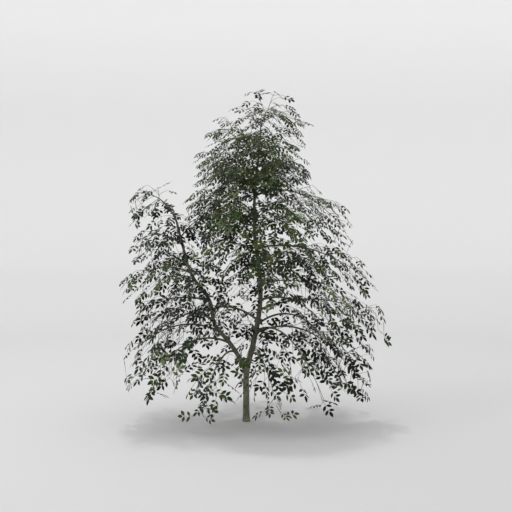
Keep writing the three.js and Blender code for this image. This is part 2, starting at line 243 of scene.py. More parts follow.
# A branch's middle line, straight from its root to its tip and lifted by its arch, and its length.
def branchLine(branch):
    points = limbLines[branch["on"]][0]
    if branch["from"] == "tip":
        root = points[-1]
    else:
        root = np.array([np.interp(branch["from"], points[:, 2], points[:, i]) for i in range(3)])
    azimuth = math.radians(branch["azimuth"])
    tip = root + branch["reach"] * np.array([math.cos(azimuth), math.sin(azimuth), 0.0])
    tip[2] = branch["to"]
    chord = tip - root

    def at(t):
        return root + chord * t + up * branch["arch"] * 4 * t * (1 - t)

    def along(t):
        return unit(chord + up * branch["arch"] * 4 * (1 - 2 * t))

    chordLength = np.linalg.norm(chord)
    return at, along, chordLength + 8 * branch["arch"] ** 2 / (3 * chordLength)


boughSize = {
    "footRadius": 14,
    "tipRadius": 10,
    "collar": 0.45,
    "collarReach": 45,
    "sides": 14,
    "steps": 24,
    "ringGap": 11,
    "bare": 0.55,  # the share of a bough, from its root, that bears no twigs
}
clearSteps = {"trunk": 16, "leftLimb": 12, "bough": 4}  # how finely twigs read what they keep clear of
massSeeds = {"first": 101, "step": 37, "tints": 7}

masses = []
barkRuns = [limbLine(trunkLimb, clearSteps["trunk"]), limbLine(leftLimb, clearSteps["leftLimb"])]
for index, branch in enumerate(branches):
    at, along, length = branchLine(branch)
    if branch["share"] > 0:
        shares = np.linspace(0, branch["share"], clearSteps["bough"])
        radii = np.linspace(boughSize["footRadius"], boughSize["tipRadius"], clearSteps["bough"])
        barkRuns.append((np.array([at(t) for t in shares]), radii))
    masses.append(
        {
            "branch": branch,
            "at": at,
            "along": along,
            "length": length,
            "outwards": unit((at(1) - at(0)) * [1, 1, 0]),
            "seed": massSeeds["first"] + massSeeds["step"] * index,
            "shoots": [],
        }
    )

barkStarts = np.concatenate([points[:-1] for points, radii in barkRuns])
barkEnds = np.concatenate([points[1:] for points, radii in barkRuns])
barkRadii = np.concatenate([np.maximum(radii[:-1], radii[1:]) for points, radii in barkRuns])
boxLow = np.array(cadLow) / toMetres - room["box"]
boxHigh = np.array(cadHigh) / toMetres + room["box"]


# How far each place is from each straight run.
def distances(places, starts, ends):
    runs = ends - starts
    t = ((places[:, None, :] - starts) * runs).sum(2) / (runs * runs).sum(1)
    nearest = starts + np.clip(t, 0, 1)[..., None] * runs
    return np.linalg.norm(places[:, None, :] - nearest, axis=2)


def farthestReach(mass):
    share = room["shorter"].get(mass["branch"]["name"], room["reach"])
    return max(mass["branch"]["reach"], mass["branch"]["spread"]) * share


# Which places are in the branch's reach, in the box, off the ground and clear of every limb.
def freePlaces(places, mass, clearance):
    inReach = (places - mass["at"](0)) @ mass["outwards"] < farthestReach(mass)
    toBark = (distances(places, barkStarts, barkEnds) - barkRadii).min(1)
    inBox = ((places > boxLow) & (places < boxHigh)).all(1)
    return inReach & inBox & (places[:, 2] > room["ground"]) & (toBark > clearance)


# Twigs: pairs off each stem in turned planes, then finer twigs off the longer ones.
stemSize = {
    "footRadii": (6.0, 11.0, 1800, 3100),  # slimmest and fullest, and the heights between them
    "tipRadius": 2.2,
    "sides": 7,
    "bends": 22,
    "taper": 0.8,
    "collar": 0.5,  # how much thicker it is at its root
    "collarReach": 60,
    "pairGap": 88,
    "fewestPairs": 4,
    "ends": (0.65, 0.35),  # room before its first pair and after its last, as shares of a gap
    "turns": (0.2, 1.25),  # how far the first pair is turned about it, and each one from the last
    "boughGap": 170,
    "boughTurn": 0.9,
    "boughReach": 0.8,
}
twigSize = {
    "footRadius": 4.0,
    "tipRadius": 1.2,
    "sides": 5,
    "bends": 4,
    "angle": 58,
    "droop": ((300, 1200), (0.42, 0.26)),  # heights, and how far a twig sinks there
    "bow": 0.05,  # how far it arches, as a share of its length
    "rise": ((3300, 3650), (0.65, 1.03)),  # heights, and the share of a rising twig's slope kept there
    "sink": 0.75,  # the share of a sinking twig's slope that is kept
    "narrowing": 0.4,  # how much shorter twigs are at the tip of a stem
    "shortest": 40,
    "wobble": 0.3,  # how far a pair is off its turn
    "angleSpread": (0.8, 1.15),
    "reachSpread": (0.85, 1.15),
    "shootSpread": (0.7, 1.3),
    "forkLength": 200,
    "forkTurn": 0.6,
    "forkReach": 0.8,
    "forkSpread": (0.8, 1.1),
    "finer": 0.65,  # a finer twig's foot radius against a first one's
    "levels": 2,
    "tries": (1, 0.85, 0.7, 0.55, 0.42, 0.3),  # shares of its reach, until one has room
    "checkedAt": (0.3, 0.55, 0.8, 1),
}
# Compound leaves by the height they grow at: their length, how steeply they slope away from the
# limb, how far they turn about their stalk, how upright twigs and leaves alternate, how near
# leaves stand to their neighbours and how far apart on a twig.
leafSize = {
    "heights": [0, 600, 1300, 2300, 3100, 3550, 3850],
    "length": [240, 236, 222, 190, 172, 176, 168],
    "slope": [0.75, 0.85, 0.85, 0.8, 0.6, 0.45, 0.35],
    "roll": [0.95, 0.85, 0.5, 0.4, 0.4, 0.4, 0.4],
    "endRoll": 1.8,  # how many times as far the leaf at a twig's end turns
    "bushy": [1.0, 1.0, 1.0, 0.95, 0.9, 0.85, 0.8],
    "apart": [158, 159, 145, 117, 88, 91, 118],
    "gap": [112, 96, 73, 56, 43, 49, 60],
    "sparser": ((0.1, 0.5, 0.85, 1.0), (1.22, 1.0, 0.92, 0.96)),  # shares of the reach, and spacing
    "thinner": {  # spacing on branches that differ from the rest
        "left_limb_top": 1.3,
        "left_limb_inner": 0.8,
        "left_upper_out": 0.9,
        "left_low_out": 1.06,
        "left_inner_front": 1.4,
        "left_front_mid": 1.12,
        "left_low_front": 1.06,
        "high_left": 0.88,
        "high_front_right": 1.1,
        "right_droop": 1.05,
        "high_back_right": 1.3,
        "right_mid": 0.95,
        "mid_right": 0.9,
        "right_front_mid": 1.45,
        "right_front_low": 1.28,
        "front_low": 0.88,
        "mid_back": 1.3,
        "mid_front": 1.1,
        "mid_front_right": 1.08,
        "right_back_low": 1.25,
        "upper_left": 0.85,
        "back_low": 1.22,
    },
    "width": 0.7,  # a leaf's width as a share of its length
    "outward": 1.1,  # how far a pair's leaves stand out from the twig
    "fromTrunk": 0.5,  # how far they turn to the branch's own way
    "ownWay": 60,
    "levelOut": 0.1,
    "dip": 0.25,  # how much the slope differs from leaf to leaf
    "lengthSpread": (0.85, 1.15),
    "firstPair": 0.6,  # room before a twig's first pair, as a share of a gap
    "pairTurn": 1.2,  # how far every second pair is turned about the twig
    "tries": (1.0, 0.75),  # shares of its length, until one has room
    "checkedAt": (0.5, 0.2),  # its middle, and nearer its foot
    "centre": 0.55,  # the point that keeps apart from its neighbours
    "pastTwig": 0.9,  # the share of an end leaf that counts to the reach of its twig
}


def leafAt(height, measure):
    return np.interp(height, leafSize["heights"], leafSize[measure])


# A mass of foliage: the stem of its branch, the twigs off it, and the leaves that have room.
def growMass(mass):
    branch, at, along = mass["branch"], mass["at"], mass["along"]
    roll = makeDice(mass["seed"])
    twigs, leaves = [], []

    def addLeaf(foot, heading, spray, t):
        out = unit((foot - at(0)) * [1, 1, 0] + mass["outwards"] * leafSize["ownWay"])
        slope = leafAt(foot[2], "slope")
        level = unit(heading * [1, 1, 0] + out * leafSize["levelOut"])
        heading = unit(level - up * (slope * (level @ out) + roll(-1, 1) * leafSize["dip"]))
        widest = leafAt(foot[2], "roll") * (leafSize["endRoll"] if t == 1 else 1)
        side = turned(unit(np.cross(heading, up + out * slope)), heading, roll(-widest, widest))
        length = leafAt(foot[2], "length") * roll(*leafSize["lengthSpread"])
        leaves.append((foot, heading, side, length, spray, t))

    def addTwig(foot, heading, reach, level, parent, forkAt):
        leafLength = leafAt(foot[2], "length")
        for scale in twigSize["tries"]:
            length = reach * scale - leafLength * leafSize["pastTwig"]
            if length < twigSize["shortest"]:
                if scale < 1:
                    return
                length = twigSize["shortest"]
            run = (heading - up * np.interp(foot[2], *twigSize["droop"])) * length
            bow = up * twigSize["bow"] * length * 4

            def spot(t):
                return foot + run * t + bow * t * (1 - t)

            checked = np.array([spot(t) for t in twigSize["checkedAt"]])
            if freePlaces(checked, mass, room["limb"] + twigSize["footRadius"]).all():
                break
        else:
            return
        ahead = unit(run)
        flat = levelAcross(ahead)
        spray = len(twigs)
        twigs.append((spot, level, parent, forkAt))
        pairs = max(1, int(length / leafAt(foot[2], "gap")))
        wobble, forkTurn = twigSize["wobble"], twigSize["forkTurn"]
        for j in range(pairs):
            t = (j + leafSize["firstPair"]) / pairs
            turn = (j % 2) * leafSize["pairTurn"] * leafAt(foot[2], "bushy")
            across = turned(flat, ahead, turn + roll(-wobble, wobble)) * leafSize["outward"]
            for hand in (-1, 1):
                out = ahead + across * hand + mass["outwards"] * leafSize["fromTrunk"]
                addLeaf(spot(t), out, spray, t)
            if level < twigSize["levels"] and length > twigSize["forkLength"] and j % 2 == 1:
                for hand in (-1, 1):
                    fork = unit(ahead + turned(flat, ahead, roll(-forkTurn, forkTurn)) * hand)
                    reachLeft = length * (1 - t) * twigSize["forkReach"] + leafLength
                    reachLeft *= roll(*twigSize["forkSpread"])
                    addTwig(spot(t), fork, reachLeft, level + 1, spray, t)
        addLeaf(spot(1), ahead, spray, 1)

    def addPair(t, turn, reach):
        foot, ahead = at(t), along(t)
        tilt = math.pi / 2 * math.sin(turn) * leafAt(foot[2], "bushy")
        wobble = roll(-twigSize["wobble"], twigSize["wobble"])
        across = turned(levelAcross(ahead), ahead, tilt + wobble)
        for hand in (-1, 1):
            angle = math.radians(twigSize["angle"]) * roll(*twigSize["angleSpread"])
            heading = ahead * math.cos(angle) + across * hand * math.sin(angle)
            heading[2] *= np.interp(foot[2], *twigSize["rise"]) if heading[2] > 0 else twigSize["sink"]
            addTwig(foot, heading, reach * roll(*twigSize["reachSpread"]), 1, None, 0)

    share = branch["share"]
    stemLength = mass["length"] * (1 - share)
    pairs = max(stemSize["fewestPairs"], round(stemLength / stemSize["pairGap"]))
    before, after = stemSize["ends"]
    firstTurn, turn = stemSize["turns"]
    for k in range(pairs):
        done = (k + before) / (pairs + after)
        reach = branch["spread"] * (1 - twigSize["narrowing"] * done)
        addPair(share + (1 - share) * done, firstTurn + k * turn, reach)
    bare = boughSize["bare"]
    boughPairs = int(mass["length"] * share * (1 - bare) / stemSize["boughGap"])
    reach = branch["spread"] * stemSize["boughReach"]
    for k in range(boughPairs):
        done = bare + (1 - bare) * (k + 0.5) / boughPairs
        addPair(share * done, stemSize["boughTurn"] + k * turn, reach)
    for foot, heading, reach in mass["shoots"]:
        addTwig(foot, heading, reach * roll(*twigSize["shootSpread"]), 1, None, 0)
    end = 1 - leafAt(branch["to"], "length") * leafSize["pastTwig"] / mass["length"]
    addLeaf(at(end), along(end), len(twigs), 1)
    stem = np.array([at(t) for t in np.linspace(share, end, stemSize["bends"] + 1)])
    kept = fitLeaves(leaves, mass)
    return {"stem": stem, "twigs": trimTwigs(twigs, kept), "leaves": kept}


# Each twig ends at its last leaf or fork, and one that bears neither is left out.
def trimTwigs(twigs, leaves):
    ends = np.zeros(len(twigs) + 1)
    np.maximum.at(ends, leaves["spray"], leaves["t"])
    trimmed = []
    for i in reversed(range(len(twigs))):
        spot, level, parent, forkAt = twigs[i]
        if ends[i] > 0:
            marks = np.linspace(0, ends[i], twigSize["bends"] + 1)
            trimmed.append((np.array([spot(t) for t in marks]), level))
            if parent is not None:
                ends[parent] = max(ends[parent], forkAt)
    return trimmed


# Whether a leaf's centre keeps its distance from those before it, which it then joins. They are
# kept by cells that are as wide as the widest spacing.
leafCells = {}
cellSide = max(leafSize["apart"]) * max(leafSize["thinner"].values()) * max(leafSize["sparser"][1])


def standsApart(middle, mass):
    out = (middle - mass["at"](0)) @ mass["outwards"] / farthestReach(mass)
    apart = leafAt(middle[2], "apart") * leafSize["thinner"].get(mass["branch"]["name"], 1)
    apart *= np.interp(out, *leafSize["sparser"])
    i, j, k = (math.floor(c / cellSide) for c in middle)
    near = [(i + a, j + b, k + c) for a in (-1, 0, 1) for b in (-1, 0, 1) for c in (-1, 0, 1)]
    for cell in near:
        for other in leafCells.get(cell, ()):
            if math.dist(middle, other) < apart:
                return False
    leafCells.setdefault((i, j, k), []).append(tuple(middle))
    return True


# Each leaf keeps the largest of its tries that has room, or is left out. Those nearest the twigs'
# ends choose first.
def fitLeaves(leaves, mass):
    feet, headings, sides, lengths, sprays, t = (np.array(values) for values in zip(*leaves))
    size = np.zeros(len(leaves))
    across = sides * leafSize["width"] / 2
    for scale in leafSize["tries"]:
        reach = (lengths * scale)[:, None]
        middle, inner = (feet + headings * reach * share for share in leafSize["checkedAt"])
        rim = [inner, middle, middle + across * reach, middle - across * reach]
        rim.append(feet + headings * reach)
        fits = np.all([freePlaces(places, mass, room["limb"]) for places in rim], axis=0)
        size[(size == 0) & fits] = scale
    kept = size > 0
    lengths = lengths * size
    for i in sorted(np.flatnonzero(kept), key=lambda i: -t[i]):
        middle = feet[i] + headings[i] * lengths[i] * leafSize["centre"]
        kept[i] = standsApart(middle, mass)
    return {
        "foot": feet[kept],
        "along": headings[kept],
        "side": sides[kept],
        "length": lengths[kept],
        "spray": sprays[kept],
        "t": t[kept],
    }


# Short leafy shoots straight from the limbs, which each grow with the branch that starts nearest.
shootSize = {"from": 1150, "to": 3300, "gap": 42, "turn": 2.4, "rise": 0.3, "reach": 340}
for limb in limbLines:
    points = limbLines[limb][0]
    ownMasses = [mass for mass in masses if mass["branch"]["on"] == limb]
    roots = np.array([mass["at"](0)[2] for mass in ownMasses])
    highest = min(shootSize["to"], points[-1][2])
    for k, height in enumerate(np.arange(shootSize["from"], highest, shootSize["gap"])):
        foot = np.array([np.interp(height, points[:, 2], points[:, i]) for i in range(3)])
        azimuth = k * shootSize["turn"]
        heading = unit(np.array([math.cos(azimuth), math.sin(azimuth), shootSize["rise"]]))
        nearest = ownMasses[np.argmin(np.abs(roots - height))]
        nearest["shoots"].append((foot, heading, shootSize["reach"]))
# Rising shoots that fill the crown's top and its lower right: each one's branch, how far along it
# springs, its azimuth, its rise and its reach.
risingShoots = [
    ("crown_top", 0, 172, 1.25, 600),
    ("crown_top", 0, 190, 1.25, 600),
    ("crown_top", 0, 215, 1.25, 600),
    ("crown_top", 0, 120, 1.25, 600),
    ("crown_top", 0, 20, 1.25, 600),
    ("right_low", 0.66, 14, 1.0, 600),
    ("right_low", 0.74, -30, 0.9, 600),
    ("right_low", 0.8, 0, 0.9, 560),
    ("right_low", 0.87, -12, 0.7, 520),
]
massOf = {mass["branch"]["name"]: mass for mass in masses}
for name, share, azimuth, rise, reach in risingShoots:
    azimuth = math.radians(azimuth)
    heading = unit(np.array([math.cos(azimuth), math.sin(azimuth), rise]))
    massOf[name]["shoots"].append((massOf[name]["at"](share), heading, reach))

grown = [growMass(mass) for mass in masses]
print("growth:", sum(len(growth["twigs"]) for growth in grown), "twigs and", end=" ")
print(sum(len(growth["leaves"]["foot"]) for growth in grown), "leaves")


# Base colours are given as seen, 0 to 255 a channel, and turned into light by the screen's curve.
def seen(red, green, blue):
    channels = [c / 255 for c in (red, green, blue)]
    return [c / 12.92 if c <= 0.04045 else ((c + 0.055) / 1.055) ** 2.4 for c in channels] + [1.0]


# A rough bark: streaks along the limb, pale flecks on them, a fine grain, and a tone that darkens
# above the fork, which is painted shade: the lamp from above lights the higher bark most.
barkLook = {
    "roughness": 0.88,
    "specular": 0.3,
    "streakScale": 90.0,
    "streakDetail": 6.0,
    "streakRoughness": 0.65,
    "patchScale": 7.0,
    "patchDetail": 3.0,
    "fleckScale": 160.0,
    "patchShare": 0.45,
    "streakShare": 0.55,
    "tones": (0.36, 0.64),  # where the dark tone ends and the light one is full
    "flecks": (0.08, 0.2),  # how far a fleck is full and how far it reaches
    "depth": 0.002,
    "paintedShade": (0.35, 1.0),  # metres up, from where to where the tone darkens
}


def barkMaterial(name, dark, light, fleck, streak, bump, paintedShadeShare):
    material = bpy.data.materials.new(name)
    material.use_nodes = True
    nodes, links = material.node_tree.nodes, material.node_tree.links
    shader = nodes["Principled BSDF"]
    shader.inputs["Roughness"].default_value = barkLook["roughness"]
    shader.inputs["Specular IOR Level"].default_value = barkLook["specular"]
    coords = nodes.new("ShaderNodeTexCoord")
    stretch = nodes.new("ShaderNodeMapping")
    stretch.inputs["Scale"].default_value = (1.0, 1.0, streak)
    links.new(coords.outputs["Object"], stretch.inputs["Vector"])
    streaks = nodes.new("ShaderNodeTexNoise")
    streaks.inputs["Scale"].default_value = barkLook["streakScale"]
    streaks.inputs["Detail"].default_value = barkLook["streakDetail"]
    streaks.inputs["Roughness"].default_value = barkLook["streakRoughness"]
    links.new(stretch.outputs["Vector"], streaks.inputs["Vector"])
    patches = nodes.new("ShaderNodeTexNoise")
    patches.inputs["Scale"].default_value = barkLook["patchScale"]
    patches.inputs["Detail"].default_value = barkLook["patchDetail"]
    links.new(coords.outputs["Object"], patches.inputs["Vector"])
    flecks = nodes.new("ShaderNodeTexVoronoi")
    flecks.inputs["Scale"].default_value = barkLook["fleckScale"]
    links.new(coords.outputs["Object"], flecks.inputs["Vector"])
    blend = nodes.new("ShaderNodeMath")
    blend.operation = "MULTIPLY_ADD"
    blend.inputs[1].default_value = barkLook["patchShare"]
    links.new(patches.outputs["Fac"], blend.inputs[0])
    streakPart = nodes.new("ShaderNodeMath")
    streakPart.operation = "MULTIPLY"
    streakPart.inputs[1].default_value = barkLook["streakShare"]
    links.new(streaks.outputs["Fac"], streakPart.inputs[0])
    links.new(streakPart.outputs["Value"], blend.inputs[2])
    ramp = nodes.new("ShaderNodeValToRGB")
    for element, position, colour in zip(ramp.color_ramp.elements, barkLook["tones"], (dark, light)):
        element.position = position
        element.color = seen(*colour)
    links.new(blend.outputs["Value"], ramp.inputs["Fac"])
    fleckRamp = nodes.new("ShaderNodeValToRGB")
    for element, position, share in zip(fleckRamp.color_ramp.elements, barkLook["flecks"], (1.0, 0.0)):
        element.position = position
        element.color = (share, share, share, 1.0)
    links.new(flecks.outputs["Distance"], fleckRamp.inputs["Fac"])
    mix = nodes.new("ShaderNodeMix")
    mix.data_type = "RGBA"
    mix.inputs["B"].default_value = seen(*fleck)
    links.new(fleckRamp.outputs["Color"], mix.inputs["Factor"])
    links.new(ramp.outputs["Color"], mix.inputs["A"])
    # Painted shade: the colour is multiplied darker with height, so the higher bark, which the lamp
    # above lights most, looks as dark as the lower.
    height = nodes.new("ShaderNodeSeparateXYZ")
    links.new(coords.outputs["Object"], height.inputs["Vector"])
    paintedShade = nodes.new("ShaderNodeMapRange")
    paintedShade.inputs["From Min"].default_value = barkLook["paintedShade"][0]
    paintedShade.inputs["From Max"].default_value = barkLook["paintedShade"][1]
    paintedShade.inputs["To Min"].default_value = 1.0
    paintedShade.inputs["To Max"].default_value = paintedShadeShare
    links.new(height.outputs["Z"], paintedShade.inputs["Value"])
    paintedShadeMix = nodes.new("ShaderNodeMix")
    paintedShadeMix.data_type = "RGBA"
    paintedShadeMix.blend_type = "MULTIPLY"
    paintedShadeMix.inputs["Factor"].default_value = 1.0
    links.new(mix.outputs["Result"], paintedShadeMix.inputs["A"])
    links.new(paintedShade.outputs["Result"], paintedShadeMix.inputs["B"])
    links.new(paintedShadeMix.outputs["Result"], shader.inputs["Base Color"])
    relief = nodes.new("ShaderNodeBump")
    relief.inputs["Strength"].default_value = bump
    relief.inputs["Distance"].default_value = barkLook["depth"]
    links.new(streaks.outputs["Fac"], relief.inputs["Height"])
    links.new(relief.outputs["Normal"], shader.inputs["Normal"])
    return material


# A leaf: one green per material, a little darker and lighter from place to place, faintly waxy.
leafLook = {
    "roughness": 0.34,
    "specular": 0.14,
    "mottleScale": 26.0,
    "mottleDetail": 2.0,
    "tones": (0.3, 0.7),
    "shades": (0.88, 1.1),
}


def leafMaterial(name, green):
    material = bpy.data.materials.new(name)
    material.use_nodes = True
    nodes, links = material.node_tree.nodes, material.node_tree.links
    shader = nodes["Principled BSDF"]
    shader.inputs["Roughness"].default_value = leafLook["roughness"]
    shader.inputs["Specular IOR Level"].default_value = leafLook["specular"]
    coords = nodes.new("ShaderNodeTexCoord")
    mottle = nodes.new("ShaderNodeTexNoise")
    mottle.inputs["Scale"].default_value = leafLook["mottleScale"]
    mottle.inputs["Detail"].default_value = leafLook["mottleDetail"]
    links.new(coords.outputs["Object"], mottle.inputs["Vector"])
    ramp = nodes.new("ShaderNodeValToRGB")
    for element, position, shade in zip(ramp.color_ramp.elements, leafLook["tones"], leafLook["shades"]):
        element.position = position
        element.color = seen(*[c * shade for c in green])
    links.new(mottle.outputs["Fac"], ramp.inputs["Fac"])
    links.new(ramp.outputs["Color"], shader.inputs["Base Color"])
    return material


def addPiece(name, mesh, material, nodeNames):
    piece = bpy.data.objects.new(name, mesh)
    bpy.context.scene.collection.objects.link(piece)
    mesh.materials.append(material)
    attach(piece, "root")
    if nodeNames:
        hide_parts(*nodeNames)


# Along, across and square to both at each point of a line, carried on from point to point.
def frames(points):
    tangents = np.gradient(points, axis=0)
    first = tangents[0]
    across = unit(toViewer - first * (toViewer @ first) / (first @ first))
    found = []
    for along in tangents:
        along = unit(along)
        across = unit(across - along * (across @ along))
        found.append((along, across, np.cross(along, across)))
    return found


# Bark in relief: soft ridges that run with the limb, dents between them, and low swellings.
barkRelief = {
    "ridge": 1.3,
    "ridgeWidth": 9,
    "ridgeRun": 70,
    "knot": 0.6,
    "swell": 0.05,
    "swellWidth": 400,
    "swellRun": 190,
    "fullFrom": 25,  # the radius from which the ridges have their full height
}


def reliefAt(place, radius):
    x, y, z = place
    width, run = barkRelief["ridgeWidth"], barkRelief["ridgeRun"]
    wide = barkRelief["swellWidth"]
    ridges = noise.noise(Vector((x / width, y / width, z / run)))
    knots = noise.noise(Vector((x / width * 2, y / width * 2, z / width)))
    swell = noise.noise(Vector((x / wide, y / wide, z / barkRelief["swellRun"])))
    fine = min(1.0, radius / barkRelief["fullFrom"])
    ridgeHeight = (barkRelief["ridge"] * ridges + barkRelief["knot"] * knots) * fine
    return ridgeHeight + radius * barkRelief["swell"] * swell


# A limb's skin: a flat grid is wrapped round its line, ring by ring, and its two ends are closed.
def barkTube(bm, points, radii, sides):
    before = set(bm.verts)
    rings = len(points) - 1
    bmesh.ops.create_grid(bm, x_segments=sides, y_segments=rings, size=1.0)
    made = [v for v in bm.verts if v not in before]
    axes = frames(points)
    for vert in made:
        ring = round((vert.co.y + 1) / 2 * rings)
        angle = vert.co.x * math.pi
        along, across, third = axes[ring]
        outward = across * math.cos(angle) + third * math.sin(angle)
        skin = points[ring] + outward * radii[ring]
        vert.co = Vector((skin + outward * reliefAt(skin, radii[ring])) * toMetres)
    bmesh.ops.remove_doubles(bm, verts=made, dist=mergeWithin["bark"])
    rims = [e for v in made if v.is_valid for e in v.link_edges if e.is_boundary]
    bmesh.ops.holes_fill(bm, edges=list(set(rims)), sides=sides)


def barkPiece(name, tubes, material, nodeNames):
    bm = bmesh.new()
    for points, radii, sides in tubes:
        barkTube(bm, points, radii, sides)
    bmesh.ops.recalc_face_normals(bm, faces=bm.faces)
    mesh = bpy.data.meshes.new(name)
    bm.to_mesh(mesh)
    bm.free()
    mesh.shade_smooth()
    addPiece(name, mesh, material, nodeNames)


# A line's points and radii in even steps, and how far along each one lies.
def evenRings(points, radii, gap):
    steps = np.concatenate([[0], np.cumsum(np.linalg.norm(np.diff(points, axis=0), axis=1))])
    marks = np.linspace(0, steps[-1], round(steps[-1] / gap))
    spaced = np.stack([np.interp(marks, steps, points[:, i]) for i in range(3)], 1)
    return spaced, np.interp(marks, steps, radii), marks


# Each bark: its dark and light tones and its flecks, as seen, how far streaks are drawn out, how
# strong its grain is, and its brightness above the fork, which is painted shade.
barks = {
    "elderBark": ((75, 75, 62), (139, 139, 122), (162, 159, 143), 0.16, 0.8, 0.62),
    "youngElderBark": ((62, 63, 52), (108, 109, 93), (132, 131, 114), 0.3, 0.5, 0.85),
    "elderTwig": ((70, 74, 48), (112, 114, 82), (134, 130, 104), 0.4, 0.2, 0.9),
}
oldBark = barkMaterial("elderBark", *barks["elderBark"])
youngBark = barkMaterial("youngElderBark", *barks["youngElderBark"])

trunkPoints, trunkRadii = evenRings(*limbLines["trunk"], trunkLimb["ringGap"])[:2]
barkPiece("trunkBark", [(trunkPoints, trunkRadii, trunkLimb["sides"])], oldBark, ["trunk"])
leftPoints, leftRadii, marks = evenRings(*limbLines["left_limb"], leftLimb["ringGap"])
leftRadii = leftRadii * (1 + leftLimb["collar"] * np.exp(-marks / leftLimb["collarReach"]))
barkPiece("leftLimbBark", [(leftPoints, leftRadii, leftLimb["sides"])], oldBark, ["left_limb"])

boughTubes = []
boughNames = []
for mass in masses:
    share = mass["branch"]["share"]
    if share > 0:
        points = np.array([mass["at"](t) for t in np.linspace(0, share, boughSize["steps"])])
        radii = np.linspace(boughSize["footRadius"], boughSize["tipRadius"], boughSize["steps"])
        points, radii, marks = evenRings(points, radii, boughSize["ringGap"])
        radii = radii * (1 + boughSize["collar"] * np.exp(-marks / boughSize["collarReach"]))
        boughTubes.append((points, radii, boughSize["sides"]))
        boughNames.append(mass["branch"]["name"] + "_bough")
barkPiece("boughBark", boughTubes, youngBark, boughNames)
print("bark: done")


# Many small shapes as one mesh, from arrays of places and of faces.
def joinedMesh(name, parts):
    places = np.concatenate([part[0] for part in parts]) * toMetres
    starts = np.cumsum([0] + [len(part[0]) for part in parts[:-1]])
    corners = np.concatenate([part[1] + start for part, start in zip(parts, starts)])
    sizes = np.concatenate([part[2] for part in parts])
    mesh = bpy.data.meshes.new(name)
    mesh.vertices.add(len(places))
    mesh.vertices.foreach_set("co", places.ravel())
    mesh.loops.add(len(corners))
    mesh.loops.foreach_set("vertex_index", corners)
    mesh.polygons.add(len(sizes))
    mesh.polygons.foreach_set("loop_start", np.cumsum(sizes) - sizes)
    mesh.update(calc_edges=True)
    mesh.validate()
    mesh.shade_smooth()
    return mesh


def roundTube(points, radii, sides):
    rings = []
    angles = np.arange(sides) * 2 * math.pi / sides
    for point, radius, axes in zip(points, radii, frames(points)):
        circle = np.outer(np.cos(angles), axes[1]) + np.outer(np.sin(angles), axes[2])
        rings.append(point + radius * circle)
    index = np.arange(len(points) * sides).reshape(len(points), sides)
    quads = np.stack([index[:-1], np.roll(index[:-1], -1, 1), np.roll(index[1:], -1, 1), index[1:]], -1)
    caps = np.concatenate([index[0][::-1], index[-1]])
    corners = np.concatenate([quads.reshape(-1), caps])
    sizes = np.concatenate([np.full(quads.shape[0] * sides, 4), [sides, sides]])
    return np.concatenate(rings), corners, sizes


stemParts = []
twigParts = []
slimmest, fullest, low, high = stemSize["footRadii"]
for mass, growth in zip(masses, grown):
    stem = growth["stem"]
    onBough = mass["branch"]["share"] > 0
    foot = np.interp(mass["at"](0)[2], [low, high], [fullest, slimmest])
    foot = boughSize["tipRadius"] if onBough else foot
    radii = foot + (stemSize["tipRadius"] - foot) * np.linspace(0, 1, len(stem)) ** stemSize["taper"]
    if not onBough:
        marks = np.linspace(0, mass["length"], len(stem))
        radii = radii * (1 + stemSize["collar"] * np.exp(-marks / stemSize["collarReach"]))
    stemParts.append(roundTube(stem, radii, stemSize["sides"]))
    for points, level in growth["twigs"]:
        foot = twigSize["footRadius"] * (1 if level == 1 else twigSize["finer"])
        radii = np.linspace(foot, twigSize["tipRadius"], len(points))
        twigParts.append(roundTube(points, radii, twigSize["sides"]))
massNames = [mass["branch"]["name"] + "_leaves" for mass in masses]
twigBark = barkMaterial("elderTwig", *barks["elderTwig"])
addPiece("stems", joinedMesh("stems", stemParts), youngBark, massNames)
addPiece("twigs", joinedMesh("twigs", twigParts), twigBark, [])
print("twigs: done")

# One leaflet, as shares of the leaf's length: a little folded up along its midrib, and its tip
# curling down. Its spreads are how leaflets differ on one leaf.
leafletSize = {
    "length": 0.375,
    "width": 0.168,
    "fold": 0.14,
    "curl": 0.1,
    "marks": [0, 0.1, 0.32, 0.56, 0.8, 1],
    "widths": [0.06, 0.09, 0.88, 1, 0.62, 0],
    "angle": 1.05,
    "angleSpread": (0.85, 1.15),
    "hang": 0.08,
    "hangSpread": (0.4, 1.5),
    "bank": (-0.15, 0.25),
    "endBank": (-0.2, 0.2),
    "pairSize": 0.9,
    "sizeSpread": (0.85, 1.1),
}
# A compound leaf: pairs of leaflets along a stalk that bends down, and one at its end. Its kinds
# are where the pairs stand and how many leaves are made so.
stalkSize = {"radius": 0.008, "ends": (1.3, 0.7), "sides": 3, "sag": 0.1, "end": 0.65, "bends": 3}
leafKinds = [((0.3, 0.58), 6), ((0.15, 0.37, 0.58), 2)]
leafSeed = 4711


def leafletModel():
    bm = bmesh.new()
    rows = len(leafletSize["marks"]) - 1
    bmesh.ops.create_grid(bm, x_segments=2, y_segments=rows, size=1.0)
    for vert in bm.verts:
        row = round((vert.co.y + 1) / 2 * rows)
        t = leafletSize["marks"][row]
        half = leafletSize["width"] / 2 * leafletSize["widths"][row]
        curl = leafletSize["curl"] * leafletSize["length"] * t**2
        lift = abs(vert.co.x) * half * leafletSize["fold"] - curl
        vert.co = (t * leafletSize["length"], -vert.co.x * half, lift)
    bmesh.ops.remove_doubles(bm, verts=bm.verts, dist=mergeWithin["leaflet"])
    bm.verts.ensure_lookup_table()
    bm.verts.index_update()
    places = np.array([v.co for v in bm.verts])
    corners = np.array([v.index for face in bm.faces for v in face.verts])
    sizes = np.array([len(face.verts) for face in bm.faces])
    bm.free()
    return places, corners, sizes


def stalkAt(t):
    return np.array([t, 0.0, -stalkSize["sag"] * t**2])


